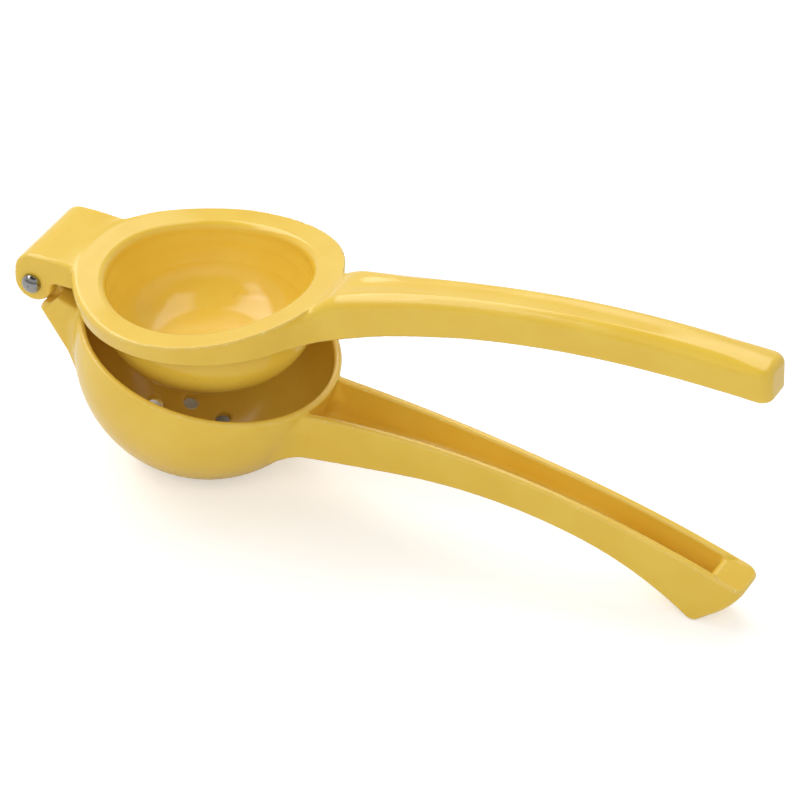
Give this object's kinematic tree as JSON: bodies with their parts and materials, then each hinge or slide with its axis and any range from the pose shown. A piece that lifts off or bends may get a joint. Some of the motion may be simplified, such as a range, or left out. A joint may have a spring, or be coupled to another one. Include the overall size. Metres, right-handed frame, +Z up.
{
  "type": "citrus squeezer",
  "caption": "Hinged hand squeezer for lemons: a perforated bowl on a channelled handle, and a press cup on a second handle, joined by a riveted fork.",
  "frame": {"origin": "centre of the small flat under the bowl, on the table", "axes": "+X from the bowl along the handles, +Y to the far side, +Z up from the table the squeezer stands on"},
  "size_m": [0.2166, 0.075, 0.0836],
  "materials": {
    "enamel": "glossy",
    "steel": "polished"
  },
  "bodies": {
    "lower": {"lower_arm": "enamel", "hinge_rivet": "steel"},
    "upper": {"upper_arm": "enamel"}
  },
  "joints": [
    {"name": "arm_hinge", "type": "hinge", "parent": "lower", "child": "upper", "pos_m": [-0.04614, 0, 0.04937], "axis": [0, -1, 0], "range_deg": [-13.6, 140]}
  ]
}
